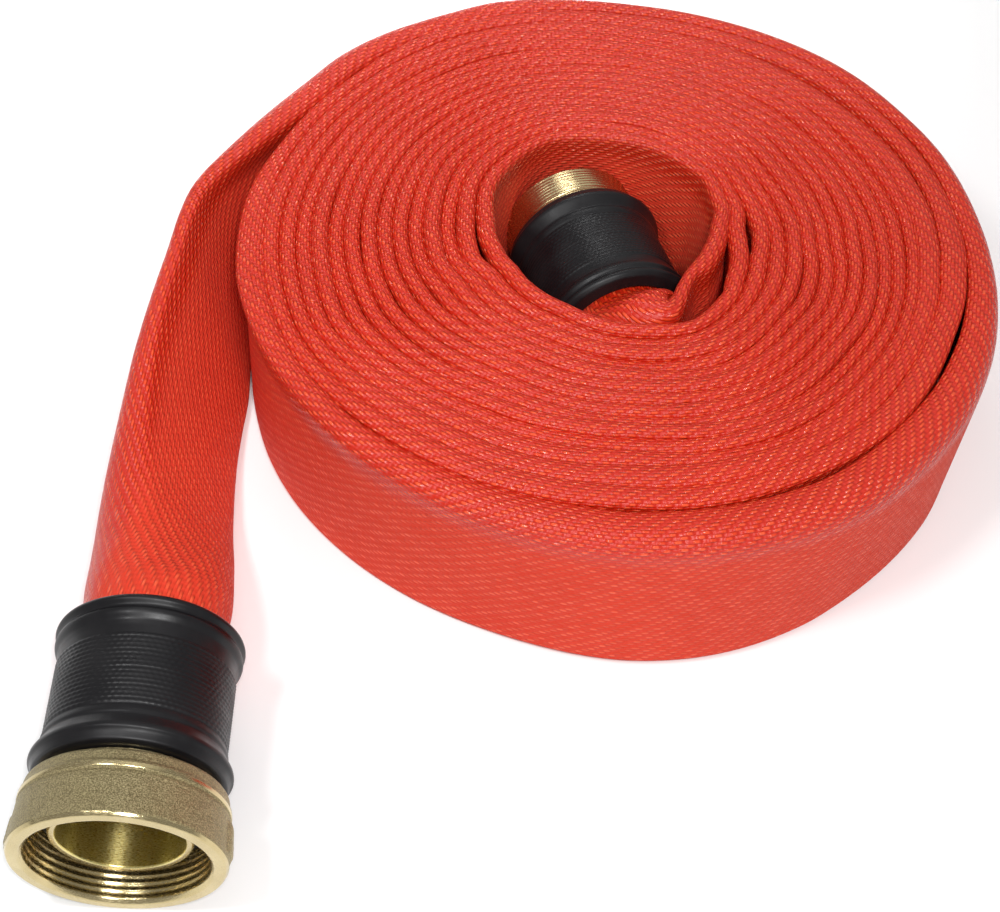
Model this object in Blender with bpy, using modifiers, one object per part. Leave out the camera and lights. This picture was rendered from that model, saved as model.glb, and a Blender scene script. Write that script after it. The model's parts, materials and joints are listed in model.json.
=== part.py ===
"""Rolled fire hose: a 45 mm lay-flat delivery hose wound into a flat roll.

The inner end of the hose carries a male screw coupling, which lies in the
middle of the roll. The outer end leaves the roll as a short free tail and
carries a female screw coupling with a swivel nut.

Metres, +Z up. The roll lies flat on the plane z = 0 and the origin is at the
middle of the whole object's base. The female coupling's mouth faces -Y.
Coupling profiles are written as (radius, distance from the coupling's front
face), both in millimetres, because that is how such a turned part is drawn.
"""

import math

import bmesh
import bpy
from mathutils import Vector

MM = 0.001
GAP = 0.3 * MM                      # clearance between touching pieces

# The hose
HOSE_RADIUS = 24.5                  # outside, when round, mm
HOSE_GIRTH = 2 * math.pi * HOSE_RADIUS

# The roll, in millimetres from its own axis
ROLL_RADIUS = 148.8
ROLL_HEIGHT = 73.5
ROLL_EDGE = 3.0                     # rounding of its four edges
ROLL_STEPS = 72
TAIL_LEAVES = 116.0                 # degrees, where the last turn becomes the tail
LEAD_JOINS = -48.0                  # degrees, where the first turn begins

# The hole in the middle of the roll: (degrees, radius)
HOLE = [
    (-90, 48.6), (-48.4, 48.6), (-47.6, 41.8), (-20, 41.5), (0, 42), (30, 46),
    (55, 55), (80, 63.5), (110, 66), (135, 65), (155, 57), (180, 49), (225, 46.5),
    (270, 48.6),
]

# The couplings
TURNED_STEPS = 36
HIDDEN_STEPS = 24
NUT_RADIUS = 35.0
NUT_LENGTH = 24.0
FEMALE_AXIS_X = 164.6               # from the roll's axis, towards -X
FEMALE_MOUTH_Y = 253.3              # from the roll's axis, towards -Y
MALE_FACE = (-17.7, 50.8, 31.9)     # the male end face, from the roll's axis
MALE_AXIS = (0.2926, -0.953, 0.0709)  # from that face towards the hose
COVER_FRONT = {"female": 26.8, "male": 18.5}
HOSE_END = 51.0                     # how far the hose runs past the cover's front
BORE = 20.5

ROLL_X = (FEMALE_AXIS_X + NUT_RADIUS - ROLL_RADIUS) / 2
ROLL_Y = (FEMALE_MOUTH_Y - ROLL_RADIUS) / 2

# The free tail: (upper edge), (lower edge), thickness, in millimetres from the
# roll's axis. It leaves the roll standing on its edge, folds where it turns
# towards the coupling, leans outwards and opens to a round tube.
TAIL = [
    ((-67.0, 129.0, 73.2), (-67.0, 129.0, 0.4), 5.4),
    ((-88.2, 117.1, 73.2), (-88.2, 117.1, 0.4), 5.4),
    ((-108.6, 101.4, 73.0), (-108.0, 100.8, 0.4), 5.6),
    ((-128.0, 83.0, 72.8), (-123.6, 81.8, 0.4), 5.6),
    ((-146.0, 62.0, 72.4), (-136.4, 60.6, 0.4), 5.6),
    ((-160.0, 40.0, 71.6), (-146.4, 37.8, 0.4), 5.8),
    ((-168.0, 22.0, 70.4), (-152.6, 14.0, 0.4), 6.0),
    ((-172.0, 8.0, 68.6), (-155.2, -16.0, 0.4), 6.4),
    ((-177.0, -10.0, 66.0), (-155.0, -36.0, 0.4), 7.0),
    ((-182.0, -32.0, 62.5), (-153.0, -53.0, 0.6), 8.0),
    ((-186.0, -56.0, 58.0), (-150.0, -71.0, 1.2), 10.0),
    ((-189.0, -82.0, 52.0), (-147.0, -92.0, 2.5), 14.0),
    ((-191.0, -107.0, 46.0), (-144.0, -113.0, 6.0), 22.0),
    ((-191.5, -131.0, 41.0), (-141.0, -134.0, 14.0), 33.0),
    ((-190.5, -152.0, 37.5), (-139.8, -153.0, 25.0), 43.0),
    ((-189.4, -166.0, 35.5), (-139.9, -166.0, 33.0), 48.0),
]

# The lead from the male coupling into the first turn: centre, heading in
# degrees, thickness. It is pinched flat as it turns against the roll.
LEAD = [
    ((5.2, -24.5, 37.0), -68.0, 42.0),
    ((6.8, -28.5, 37.0), -60.0, 34.0),
    ((9.6, -32.0, 36.9), -45.0, 24.0),
    ((16.5, -37.4, 36.8), -8.0, 10.0),
    ((23.2, -37.0, 36.8), 26.0, 6.6),
    ((29.0, -34.2, 36.8), 40.5, 5.4),
]


def clear_scene():
    for obj in list(bpy.data.objects):
        bpy.data.objects.remove(obj)


def make_collection(name):
    collection = bpy.data.collections.new(name)
    bpy.context.scene.collection.children.link(collection)
    return collection


def make_material(name, color, metallic, roughness):
    material = bpy.data.materials.new(name)
    material.use_nodes = True
    shader = material.node_tree.nodes["Principled BSDF"]
    shader.inputs["Base Color"].default_value = (*color, 1.0)
    shader.inputs["Metallic"].default_value = metallic
    shader.inputs["Roughness"].default_value = roughness
    return material


def add_object(name, mesh, material, parent=None):
    obj = bpy.data.objects.new(name, mesh)
    PART.objects.link(obj)
    obj.data.materials.append(material)
    if parent is not None:
        obj.parent = parent
    return obj


def smooth_period(points, degrees):
    """The value at an angle of a smooth closed curve through (degrees, value)."""
    angle = (degrees - points[0][0]) % 360 + points[0][0]
    for (a0, v0), (a1, v1) in zip(points, points[1:]):
        if a0 <= angle <= a1:
            share = (angle - a0) / (a1 - a0)
            share = share * share * (3 - 2 * share)
            return v0 + (v1 - v0) * share
    return points[-1][1]


def roll_radius(degrees):
    """The roll's outside: one layer less where the tail lies against it."""
    past = (degrees - TAIL_LEAVES) % 360
    if past > 76:
        return ROLL_RADIUS
    share = past / 76
    return ROLL_RADIUS - 7.0 * (1 - share * share * (3 - 2 * share))


# ---------------------------------------------------------------- turned parts


def turned(name, profile, material, parent, steps=TURNED_STEPS):
    """A closed profile of (radius, distance) in mm, turned about local Z."""
    mesh = bpy.data.meshes.new(name)
    bm = bmesh.new()
    verts = [bm.verts.new((r * MM, 0, z * MM)) for r, z in profile]
    for a, b in zip(verts, verts[1:] + verts[:1]):
        bm.edges.new((a, b))
    bm.to_mesh(mesh)
    bm.free()
    obj = add_object(name, mesh, material, parent)
    screw = obj.modifiers.new("Turn", "SCREW")
    screw.axis = "Z"
    screw.steps = steps
    screw.render_steps = steps
    screw.use_merge_vertices = True
    screw.merge_threshold = 0.00001
    screw.use_smooth_shade = True
    return obj


def ring_profile(inner, outer, front, rear):
    """A rectangular section, its points in order down the outer side."""
    return [(inner, rear), (outer, rear), (outer, front), (inner, front)]


def wire_section(middle, z, radius, points=8):
    """A round wire's section, its points in order down the outer side."""
    return [
        (
            middle + radius * math.sin(math.tau * i / points),
            z + radius * math.cos(math.tau * i / points),
        )
        for i in range(points)
    ]


def shank_outline(front, rear):
    """The barbed outside of a tailpiece, from its rear end to its collar."""
    outline = []
    for barb in range(6, int(rear - front) - 4, 12):
        outline.append((22.0, front + barb))
        outline.append((22.9, front + barb + 1.4))
    return [(21.6, rear)] + outline[::-1]


def female_tailpiece_profile():
    front = COVER_FRONT["female"]
    return (
        [(BORE, front + 50)]
        + shank_outline(front, front + 50)
        + [
            (22.0, front - 0.3), (28.0, front - 0.3), (28.0, NUT_LENGTH + 0.3),
            (25.8, NUT_LENGTH + 0.3), (25.8, 21.6), (24.7, 21.6), (24.7, 19.4),
            (25.8, 19.4), (25.8, 17.2), (23.2, 17.2), (23.2, 9.0), (22.6, 8.2),
            (BORE, 8.2),
        ]
    )


def male_tailpiece_profile():
    """Socket for the female nose, thread lands, relief, collar, then shank."""
    front = COVER_FRONT["male"]
    lands = []
    for z in (14.2, 11.6, 9.0, 6.4, 3.8):
        lands += [(26.9, z), (28.3, z - 1.3)]
    return (
        [(BORE, front + 50)]
        + shank_outline(front, front + 50)
        + [
            (22.0, front - 0.3), (29.5, front - 0.3), (29.5, front - 2.2),
            (26.6, front - 2.2), (26.6, 14.9),
        ]
        + lands
        + [(26.9, 1.0), (26.2, 0.0), (23.7, 0.0), (23.7, 10.0), (BORE, 10.0)]
    )


def nut_profile():
    """Flared cast band, machined ridge and back shoulder; thread lands inside."""
    lands = []
    for z in (2.6, 5.2, 7.8, 10.4):
        lands += [(29.6, z), (28.6, z + 1.3)]
    return (
        [(26.2, NUT_LENGTH), (31.8, NUT_LENGTH), (32.6, 23.2), (33.0, 19.4)]
        + [(33.6, 18.6), (33.6, 17.2), (33.9, 16.2), (34.8, 3.0), (35.0, 1.4)]
        + [(34.2, 0.0), (30.4, 0.0), (29.0, 1.6)]
        + lands
        + [(29.6, 14.8), (29.6, 17.0), (26.2, 17.0)]
        + [(26.2, 19.2), (27.3, 19.2), (27.3, 21.8), (26.2, 21.8)]
    )


def cover_profile(front):
    """The rubber cover: raised front lip, waist, flared rear lip."""
    outside = [
        (26.6, 55.0), (30.6, 54.6), (32.2, 53.4), (32.2, 52.0), (31.2, 50.6),
        (31.6, 49.2), (30.6, 47.4), (30.1, 44.0), (30.1, 14.6), (30.8, 12.0),
        (31.0, 10.4), (32.4, 8.4), (33.0, 5.6), (32.6, 2.6), (31.2, 0.6), (29.8, 0.0),
    ]
    inside = [(25.6, 0.0), (25.6, 3.4), (27.7, 4.4), (27.7, 45.0), (25.6, 48.6)]
    return [(r, front + z) for r, z in outside + inside]


def binding_profile(front, turns=5, wire=2.0):
    """A close winding of wire, flat inside and scalloped outside."""
    profile = [(25.6, front + turns * wire)]
    for turn in range(turns, 0, -1):
        rear = front + turn * wire
        profile += [(26.4, rear), (27.3, rear - wire / 2)]
    return profile + [(26.4, front), (25.6, front)]


def coupling_fittings(side, empty):
    """What both couplings have: hose end, its lining, two bindings, a cover."""
    front = COVER_FRONT[side]
    rear = front + HOSE_END
    hidden = [
        ("hose_end_jacket", ring_profile(24.1, 25.3, front, rear), JACKET),
        ("hose_end_lining", ring_profile(23.4, 23.8, front, rear), LINING),
        ("binding_front", binding_profile(front + 8.0), WIRE),
        ("binding_rear", binding_profile(front + 30.0), WIRE),
    ]
    for name, profile, material in hidden:
        turned(f"{side}_{name}", profile, material, empty, HIDDEN_STEPS)
    turned(f"{side}_binding_cover", cover_profile(front), RUBBER, empty)


def join_with(obj, name, size, location):
    """Joins a box to obj by a Boolean union, in obj's own frame."""
    bpy.ops.mesh.primitive_cube_add(size=1.0)
    box = bpy.context.active_object
    box.name = name
    box.parent = obj.parent
    box.scale = size
    box.location = location
    for old in list(box.users_collection):
        old.objects.unlink(box)
    CUTTERS.objects.link(box)
    box.hide_render = True
    box.display_type = "WIRE"
    boolean = obj.modifiers.new(name, "BOOLEAN")
    boolean.operation = "UNION"
    boolean.solver = "EXACT"
    boolean.object = box


# ---------------------------------------------------------------- hose solids


def loft(name, rings, material, closed_loop=False):
    """A solid through rings of points; its two ends are capped unless it loops."""
    mesh = bpy.data.meshes.new(name)
    bm = bmesh.new()
    rows = [[bm.verts.new(p) for p in ring] for ring in rings]
    pairs = list(zip(rows, rows[1:]))
    if closed_loop:
        pairs.append((rows[-1], rows[0]))
    else:
        bm.faces.new(rows[0][::-1])
        bm.faces.new(rows[-1])
    for a, b in pairs:
        for i in range(len(a)):
            j = (i + 1) % len(a)
            bm.faces.new((a[i], a[j], b[j], b[i]))
    bmesh.ops.recalc_face_normals(bm, faces=bm.faces)
    bm.to_mesh(mesh)
    bm.free()
    mesh.shade_smooth()
    obj = add_object(name, mesh, material)
    obj.location = (ROLL_X * MM, ROLL_Y * MM, 0)
    return obj


def flat_section(centre, across, through, width, thickness, points=20):
    """A hose section between flat and round: straight sides, round ends."""
    straight = (width - thickness) / 2
    ring = []
    for i in range(points):
        angle = math.tau * (i + 0.5) / points
        c, s = math.cos(angle), math.sin(angle)
        along = math.copysign(straight, c) + c * thickness / 2
        ring.append((centre + across * along + through * (s * thickness / 2)) * MM)
    return ring


def flat_width(thickness):
    """How wide the hose lies when its section is that thick."""
    return (HOSE_GIRTH - math.pi * thickness) / 2 + thickness


def roll_solid():
    """The wound turns as one ring, its hole shaped round the male coupling."""
    angles = [360 * i / ROLL_STEPS for i in range(ROLL_STEPS)]
    angles += [TAIL_LEAVES + 0.4, (LEAD_JOINS - 0.4) % 360, (LEAD_JOINS + 0.4) % 360]
    rings = []
    e = ROLL_EDGE
    h = ROLL_HEIGHT
    for degrees in sorted(angles):
        direction = Vector((math.cos(math.radians(degrees)), math.sin(math.radians(degrees)), 0))
        inner = smooth_period(HOLE, degrees)
        outer = roll_radius(degrees)
        section = [
            (inner + e, 0), (outer - e, 0), (outer - 0.3 * e, 0.3 * e), (outer, e),
            (outer, h - e), (outer - 0.3 * e, h - 0.3 * e), (outer - e, h),
            (inner + e, h), (inner + 0.3 * e, h - 0.3 * e), (inner, h - e),
            (inner, e), (inner + 0.3 * e, 0.3 * e),
        ]
        rings.append([(direction * r + Vector((0, 0, z))) * MM for r, z in section])
    return loft("hose_roll", rings, JACKET, closed_loop=True)


def tail_solid():
    """The free stretch between the roll and the female coupling."""
    rings = []
    end_y = HOSE_END + COVER_FRONT["female"] + GAP / MM - FEMALE_MOUTH_Y
    left = (-FEMALE_AXIS_X - HOSE_RADIUS, end_y, NUT_RADIUS)
    right = (-FEMALE_AXIS_X + HOSE_RADIUS, end_y, NUT_RADIUS)
    stations = TAIL + [(left, right, 2 * HOSE_RADIUS)]
    middles = [(Vector(t) + Vector(b)) / 2 for t, b, _ in stations]
    middles.append(middles[-1] + Vector((0, -1, 0)))
    for i, (top, bottom, thickness) in enumerate(stations):
        across = Vector(top) - Vector(bottom)
        start = i if i == len(TAIL) else max(i - 1, 0)
        through = across.cross(middles[i + 1] - middles[start]).normalized()
        rings.append(
            flat_section(
                middles[i], across.normalized(), through, across.length, thickness
            )
        )
    return loft("hose_tail", rings, JACKET)


def lead_solid():
    """The short stretch between the male coupling and the first turn."""
    axis = Vector(MALE_AXIS).normalized()
    side = axis.cross(Vector((0, 0, 1))).normalized()
    end = Vector(MALE_FACE) + axis * (COVER_FRONT["male"] + HOSE_END + GAP / MM)
    round_end = 2 * HOSE_RADIUS
    rings = [flat_section(end, side.cross(axis), side, round_end, round_end)]
    for centre, heading, thickness in LEAD:
        along = Vector((math.cos(math.radians(heading)), math.sin(math.radians(heading)), 0))
        up = Vector((0, 0, 1))
        width = min(flat_width(thickness), ROLL_HEIGHT - 0.8)
        rings.append(
            flat_section(Vector(centre), up, along.cross(up), width, thickness)
        )
    return loft("hose_lead", rings, JACKET)


def coupling_empty(name, location, axis):
    """An empty on a coupling's axis: its Z runs from the front face to the hose."""
    empty = bpy.data.objects.new(name, None)
    PART.objects.link(empty)
    empty.location = [v * MM for v in location]
    empty.rotation_euler = Vector(axis).to_track_quat("Z", "X").to_euler()
    return empty


clear_scene()
PART = make_collection("rolled_fire_hose")
CUTTERS = make_collection("cutters")
JACKET = make_material("red_woven_jacket", (0.68, 0.07, 0.03), 0.0, 0.55)
LINING = make_material("black_lining_rubber", (0.03, 0.03, 0.03), 0.0, 0.6)
RUBBER = make_material("black_cover_rubber", (0.02, 0.02, 0.02), 0.0, 0.4)
BRASS = make_material("brass", (0.72, 0.58, 0.30), 1.0, 0.32)
WIRE = make_material("steel_wire", (0.6, 0.6, 0.62), 1.0, 0.35)
GASKET = make_material("gasket_rubber", (0.02, 0.02, 0.02), 0.0, 0.6)

roll_solid()
tail_solid()
lead_solid()

female = coupling_empty(
    "female_coupling_axis",
    (ROLL_X - FEMALE_AXIS_X, ROLL_Y - FEMALE_MOUTH_Y, NUT_RADIUS),
    (0, 1, 0),
)
nut = turned("female_swivel_nut", nut_profile(), BRASS, female)
for side in (-1, 1):
    join_with(
        nut,
        f"lug_{side}",
        (9.0 * MM, 5.0 * MM, 6.0 * MM),
        (0, side * 32.2 * MM, 20.4 * MM),
    )
turned("female_tailpiece", female_tailpiece_profile(), BRASS, female)
turned("female_retaining_wire", wire_section(26.0, 20.5, 0.9), WIRE, female)
turned("female_gasket", ring_profile(23.6, 28.2, 14.4, 16.7), GASKET, female)
coupling_fittings("female", female)

male_location = (ROLL_X + MALE_FACE[0], ROLL_Y + MALE_FACE[1], MALE_FACE[2])
male = coupling_empty("male_coupling_axis", male_location, MALE_AXIS)
turned("male_tailpiece", male_tailpiece_profile(), BRASS, male)
coupling_fittings("male", male)
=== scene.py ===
"""The looks of the rolled fire hose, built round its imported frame.

One flat hose starts at the male coupling in the middle, is wound on edge in
about fifteen turns, and leaves as a tail that opens to a round tube at the
female coupling. All lengths are in millimetres until a mesh is made. Places on
the roll are (x, y) from the roll's axis; places on a coupling are (radius,
distance from its front face).
"""

import json
import math

import bpy
import numpy as np
from mathutils import Matrix, Vector


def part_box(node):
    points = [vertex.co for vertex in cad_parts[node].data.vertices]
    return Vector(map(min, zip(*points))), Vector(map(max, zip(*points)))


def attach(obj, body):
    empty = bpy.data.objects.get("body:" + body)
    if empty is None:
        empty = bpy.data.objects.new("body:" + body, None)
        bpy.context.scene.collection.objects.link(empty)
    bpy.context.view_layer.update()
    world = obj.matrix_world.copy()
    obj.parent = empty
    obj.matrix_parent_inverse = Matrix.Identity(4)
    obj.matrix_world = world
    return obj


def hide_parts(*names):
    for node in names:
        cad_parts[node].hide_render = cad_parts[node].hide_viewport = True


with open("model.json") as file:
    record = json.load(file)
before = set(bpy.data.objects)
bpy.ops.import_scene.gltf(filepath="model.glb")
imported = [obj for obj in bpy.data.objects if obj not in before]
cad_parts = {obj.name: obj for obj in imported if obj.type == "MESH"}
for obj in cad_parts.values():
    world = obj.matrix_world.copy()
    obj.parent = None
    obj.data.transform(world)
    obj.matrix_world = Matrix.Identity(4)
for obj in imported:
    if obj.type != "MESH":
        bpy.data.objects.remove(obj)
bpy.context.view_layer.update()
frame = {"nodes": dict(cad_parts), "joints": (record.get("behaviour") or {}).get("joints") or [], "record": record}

MM = 0.001

# ------------------------------------------------------------ places from the frame

roll_low, roll_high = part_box("hose_roll")
ROLL_RADIUS = (roll_high.y - roll_low.y) / 2 / MM
ROLL_HEIGHT = roll_high.z / MM
ROLL_AXIS = Vector((roll_high.x - ROLL_RADIUS * MM, (roll_low.y + roll_high.y) / 2, 0))
ROLL = np.array(ROLL_AXIS) / MM

spin = frame["joints"][0]
FEMALE_ORIGIN = np.array(
    (spin["pos_m"][0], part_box("female_swivel_nut")[0].y, spin["pos_m"][2])
) / MM
FEMALE_AXIS = np.array((0.0, 1.0, 0.0))

mounts = {m["name"]: m for m in frame["record"]["mounts"]}
MALE_AXIS = -np.array(mounts["male_end_face"]["axis"], float)
MALE_AXIS /= np.linalg.norm(MALE_AXIS)
COVER_FRONT = {"female": 26.8, "male": 18.5}    # from a coupling's front face to its cover
HOSE_END = 51.0                     # how far a hose end runs past its cover's front
lining_low, lining_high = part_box("male_hose_end_lining")
MALE_ORIGIN = (
    np.array((lining_low + lining_high) / 2) / MM
    - MALE_AXIS * (COVER_FRONT["male"] + HOSE_END / 2)
)

# ------------------------------------------------------------ camera, floor, lights

# The camera as it was fitted to the picture: metres, degrees (right of +Y, below
# level, about the view) and millimetres of lens on a 36 mm frame.
CAMERA_AT = (-0.0474, -0.4237, 0.5327)
CAMERA_YAW = 3.98
CAMERA_PITCH = 51.66
CAMERA_ROLL = 5.66
CAMERA_LENS = 60.16
CAMERA_FRAME = 36.0

FLOOR_SIDE = 6.0                    # metres from the middle
FLOOR_LEVEL = -0.0004               # metres, just under the hose
WORLD_STRENGTH = 0.38


def aim(obj, location, forward, roll_degrees=0.0):
    """Puts obj at location with its -Z along forward, rolled about that line."""
    forward = Vector(forward).normalized()
    right = forward.cross(Vector((0, 0, 1))).normalized()
    up = right.cross(forward)
    c, s = math.cos(math.radians(roll_degrees)), math.sin(math.radians(roll_degrees))
    x = right * c + up * s
    y = up * c - right * s
    obj.matrix_world = Matrix.Translation(Vector(location)) @ Matrix(
        (
            (x.x, y.x, -forward.x, 0),
            (x.y, y.y, -forward.y, 0),
            (x.z, y.z, -forward.z, 0),
            (0, 0, 0, 1),
        )
    )


def make_camera():
    """The scene's camera, where the picture was taken from."""
    data = bpy.data.cameras.new("camera")
    data.lens = CAMERA_LENS
    data.sensor_width = CAMERA_FRAME
    camera = bpy.data.objects.new("camera", data)
    bpy.context.scene.collection.objects.link(camera)
    yaw, pitch = math.radians(CAMERA_YAW), math.radians(CAMERA_PITCH)
    forward = (
        math.sin(yaw) * math.cos(pitch),
        math.cos(yaw) * math.cos(pitch),
        -math.sin(pitch),
    )
    aim(camera, CAMERA_AT, forward, CAMERA_ROLL)
    bpy.context.scene.camera = camera


def area_light(name, location, target, size, watts, spread=180):
    """A round light at location, turned towards target; spread is in degrees."""
    data = bpy.data.lights.new(name, "AREA")
    data.shape = "DISK"
    data.size = size
    data.energy = watts
    data.spread = math.radians(spread)
    light = bpy.data.objects.new(name, data)
    bpy.context.scene.collection.objects.link(light)
    aim(light, location, Vector(target) - Vector(location))


def make_studio():
    """A white floor and world, a small flash, two fills and a light on the floor behind."""
    mesh = bpy.data.meshes.new("floor")
    side = FLOOR_SIDE
    mesh.from_pydata(
        [(-side, -side, 0), (side, -side, 0), (side, side, 0), (-side, side, 0)],
        [],
        [(0, 1, 2, 3)],
    )
    floor = bpy.data.objects.new("floor", mesh)
    bpy.context.scene.collection.objects.link(floor)
    floor.location.z = FLOOR_LEVEL
    floor.data.materials.append(floor_material())

    world = bpy.data.worlds.new("studio")
    world.use_nodes = True
    world.node_tree.nodes["Background"].inputs["Color"].default_value = (1, 1, 1, 1)
    world.node_tree.nodes["Background"].inputs["Strength"].default_value = WORLD_STRENGTH
    bpy.context.scene.world = world
    bpy.context.scene.view_settings.view_transform = "Standard"

    middle = (0.0, 0.03, 0.04)
    area_light("flash", (0.02, -0.52, 0.78), middle, 0.12, 5.4)
    area_light("left_fill", (-0.34, -0.26, 0.76), middle, 0.14, 2.0)
    area_light("top_fill", (0.3, 0.5, 1.2), middle, 1.0, 1.2)
    area_light("backdrop", (-0.25, 0.85, 0.9), (-0.25, 0.62, 0.0), 0.6, 3.0, spread=60)


# ------------------------------------------------------------ materials


class Nodes:
    """Short names for building a material's node tree.

    An output is a node's socket number; 3 is the object place of texture
    coordinates, in metres.
    """

    def __init__(self, name):
        self.material = bpy.data.materials.new(name)
        self.material.use_nodes = True
        self.tree = self.material.node_tree
        self.shader = self.tree.nodes["Principled BSDF"]

    def set(self, **values):
        for name, value in values.items():
            self.shader.inputs[name.replace("_", " ")].default_value = value

    def feed(self, socket, name):
        self.tree.links.new(socket, self.shader.inputs[name])

    def node(self, kind, inputs=(), output=0, **attributes):
        node = self.tree.nodes.new(kind)
        for key, value in attributes.items():
            setattr(node, key, value)
        for key, value in dict(inputs).items():
            if isinstance(value, bpy.types.NodeSocket):
                self.tree.links.new(value, node.inputs[key])
            else:
                node.inputs[key].default_value = value
        return node.outputs[output]

    def math(self, operation, a, b=0.0, c=0.0, clamp=False):
        return self.node(
            "ShaderNodeMath", {0: a, 1: b, 2: c}, operation=operation, use_clamp=clamp
        )

    def blend(self, factor, a, b):
        """Colour a where factor is 0, b where it is 1."""
        node = self.tree.nodes.new("ShaderNodeMix")
        node.data_type = "RGBA"
        for key, value in ((0, factor), (6, a), (7, b)):
            if isinstance(value, bpy.types.NodeSocket):
                self.tree.links.new(value, node.inputs[key])
            else:
                node.inputs[key].default_value = value
        return node.outputs[2]

    def ramp(self, factor, low, high, to_low=0.0, to_high=1.0):
        """Goes smoothly from to_low to to_high while factor goes from low to high."""
        return self.node(
            "ShaderNodeMapRange",
            {
                "Value": factor,
                "From Min": low,
                "From Max": high,
                "To Min": to_low,
                "To Max": to_high,
            },
            interpolation_type="SMOOTHSTEP",
        )

    def noise(self, vector, scale, detail=2.0, roughness=0.5):
        return self.node(
            "ShaderNodeTexNoise",
            {"Vector": vector, "Scale": scale, "Detail": detail, "Roughness": roughness},
        )

    def bump(self, height, distance):
        """A normal from a height of 0 to 1 that stands for distance in metres."""
        inputs = {"Height": height, "Distance": distance, "Strength": 1.0}
        return self.node("ShaderNodeBump", inputs)


def floor_material():
    n = Nodes("floor_white")
    n.set(Base_Color=(0.96, 0.96, 0.96, 1), Metallic=0.0, Roughness=0.9)
    return n.material


FLOAT_PITCH = 6.0                   # along the hose, mm
COLUMNS = 111                       # warp yarns round the hose


def weave_material():
    """A 2/1 twill: warp yarns in columns, each floating over two wefts of three.

    The map named weave counts float pitches along the hose in X and yarn
    columns round it in Y. A column's floats start a third of a pitch further on
    than those of the column before. Column 0 is the upper fold's middle.
    """
    n = Nodes("red_woven_jacket")
    place = n.node("ShaderNodeUVMap", uv_map="weave")
    split = n.tree.nodes.new("ShaderNodeSeparateXYZ")
    n.tree.links.new(place, split.inputs[0])
    # yarns wander a little, by up to a share of a float and of a column
    slow = n.node("ShaderNodeVectorMath", {0: place, 1: (0.55, 0.16, 1.0)}, operation="MULTIPLY")
    loose = n.node("ShaderNodeTexNoise", {"Vector": slow, "Scale": 1.0, "Detail": 2.0}, output=1)
    drift = n.tree.nodes.new("ShaderNodeSeparateXYZ")
    n.tree.links.new(loose, drift.inputs[0])
    along = n.math("SUBTRACT", drift.outputs[0], 0.5)
    along = n.math("MULTIPLY_ADD", along, 0.34, split.outputs[0])
    across = n.math("SUBTRACT", drift.outputs[1], 0.5)
    across = n.math("MULTIPLY_ADD", across, 0.9, split.outputs[1])

    # a yarn is round across, its float is highest in the middle
    column = n.math("FLOOR", across)
    side = n.math("SUBTRACT", n.math("FRACT", across), 0.5)
    shifted = n.math("SUBTRACT", along, n.math("DIVIDE", column, 3.0))
    phase = n.math("SUBTRACT", n.math("FRACT", shifted), 0.5)
    off_middle = n.math("MULTIPLY", n.math("ABSOLUTE", side), 1.85)
    yarn = n.math("SUBTRACT", 1.0, n.math("POWER", off_middle, 2.0), clamp=True)
    yarn = n.math("SQRT", yarn)
    crown = n.ramp(n.math("ABSOLUTE", phase), 0.38, 0.04)
    relief = n.math("MULTIPLY", yarn, n.math("MULTIPLY_ADD", crown, 0.78, 0.22))
    weft = n.math("SINE", n.math("MULTIPLY", along, 6 * math.pi))
    weft = n.math("MULTIPLY_ADD", weft, 0.5, 0.5)

    cell = n.node("ShaderNodeCombineXYZ", {0: n.math("FLOOR", shifted), 1: column})
    chance = n.node("ShaderNodeTexWhiteNoise", {"Vector": cell}, noise_dimensions="2D")
    metres = n.node("ShaderNodeTexCoord", output=3)
    cloud = n.noise(metres, 28.0, 3.0)
    fibre_along = n.math("MULTIPLY", along, 3.0)
    fibre_across = n.math("MULTIPLY", across, 6.0)
    fibre = n.noise(n.node("ShaderNodeCombineXYZ", {0: fibre_along, 1: fibre_across}), 1.0, 2.0)

    # the upper fold is rubbed smooth and glossy, the walls stay matt and even; this mask also paints the walls'
    # red lighter than the folds', a painted light
    from_far_side = n.math("SUBTRACT", float(COLUMNS), split.outputs[1])
    from_fold = n.math("MINIMUM", split.outputs[1], from_far_side)
    wall = n.ramp(from_fold, 7.0, 15.0)

    # deep red between the floats; the float crowns are painted lighter, a painted highlight for the yarn's sheen
    deep_fold = n.blend(cloud, (0.50, 0.014, 0.003, 1), (0.62, 0.022, 0.006, 1))
    # the walls' red, painted lighter than the folds' red: painted light
    deep_wall_painted_lighter = n.blend(cloud, (0.62, 0.026, 0.005, 1), (0.72, 0.038, 0.009, 1))
    deep = n.blend(wall, deep_fold, deep_wall_painted_lighter)
    # the lighter crown colour is a painted highlight, varied at random from float to float
    bright = n.blend(chance, (0.67, 0.040, 0.006, 1), (0.83, 0.094, 0.030, 1))
    crown_sheen_mask = n.ramp(relief, 0.42, 0.90)
    crown_sheen_mask = n.math("MULTIPLY", crown_sheen_mask, n.math("MULTIPLY_ADD", fibre, 0.9, 0.5), clamp=True)
    n.feed(n.blend(crown_sheen_mask, deep, bright), "Base Color")
    matt = n.math("MULTIPLY_ADD", wall, 0.46, 0.42)
    gloss = n.math("MULTIPLY_ADD", chance, -0.16, matt)
    gloss = n.math("MULTIPLY_ADD", n.ramp(relief, 0.4, 1.0), -0.18, gloss)
    n.feed(gloss, "Roughness")
    height = n.math("ADD", relief, n.math("MULTIPLY", fibre, 0.22))
    height = n.math("ADD", height, n.math("MULTIPLY", weft, 0.16))
    n.feed(n.bump(height, 0.00074), "Normal")
    n.set(Specular_IOR_Level=0.5)
    return n.material


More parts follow.
